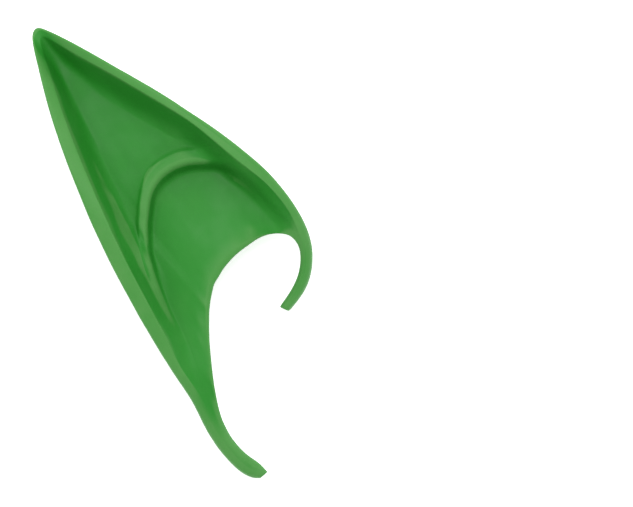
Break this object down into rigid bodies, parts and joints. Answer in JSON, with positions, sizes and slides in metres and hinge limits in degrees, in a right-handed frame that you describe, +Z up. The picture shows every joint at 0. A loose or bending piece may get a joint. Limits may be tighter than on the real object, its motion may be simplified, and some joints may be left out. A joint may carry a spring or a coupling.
{
  "type": "elf ear tip",
  "caption": "Pointed slip-on ear tip of soft latex: a dished leaf shape with a raised rim and a curved ridge, an open bay between two slender hooks, and a pocket for the wearer's ear.",
  "frame": {"origin": "on the surface that the ear lies on, below the middle of its bounding box", "axes": "+Z up out of the face of the ear, +Y from the lobe hook towards the point, +X from the back rim towards the front hook"},
  "size_m": [0.073, 0.1176, 0.0216],
  "materials": {
    "latex": "satin, solid green, slightly lighter on the rim and the ridge"
  },
  "bodies": {
    "root": {"ear_tip": "latex"}
  },
  "joints": []
}
